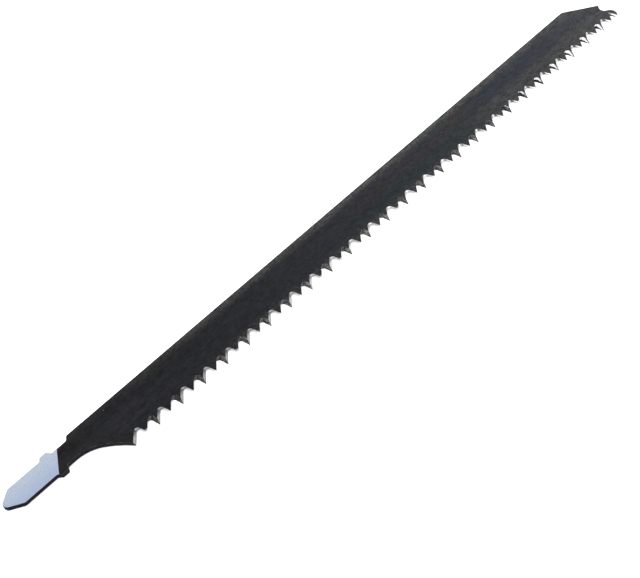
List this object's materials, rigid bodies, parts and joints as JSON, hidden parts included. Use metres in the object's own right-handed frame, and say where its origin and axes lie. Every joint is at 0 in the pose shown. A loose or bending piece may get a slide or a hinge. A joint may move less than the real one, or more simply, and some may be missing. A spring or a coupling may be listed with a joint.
{
  "type": "jigsaw blade",
  "caption": "Long flat steel jigsaw blade with a lugged bayonet tang painted pale blue on one face, bevel-ground set teeth, a hollow heel and a slanted, notched tip.",
  "frame": {"origin": "middle of the flat sides of the tang, on the unpainted back face that the clamp presses on", "axes": "+X along the blade from the tang to the tip, +Y from the teeth to the back edge, +Z out of the painted face"},
  "size_m": [0.25, 0.0172, 0.0016],
  "materials": {
    "blade_steel": "dark oxide steel, bright ground teeth, pale blue paint on one face of the tang"
  },
  "bodies": {
    "root": {"blade": "blade_steel"}
  },
  "joints": []
}
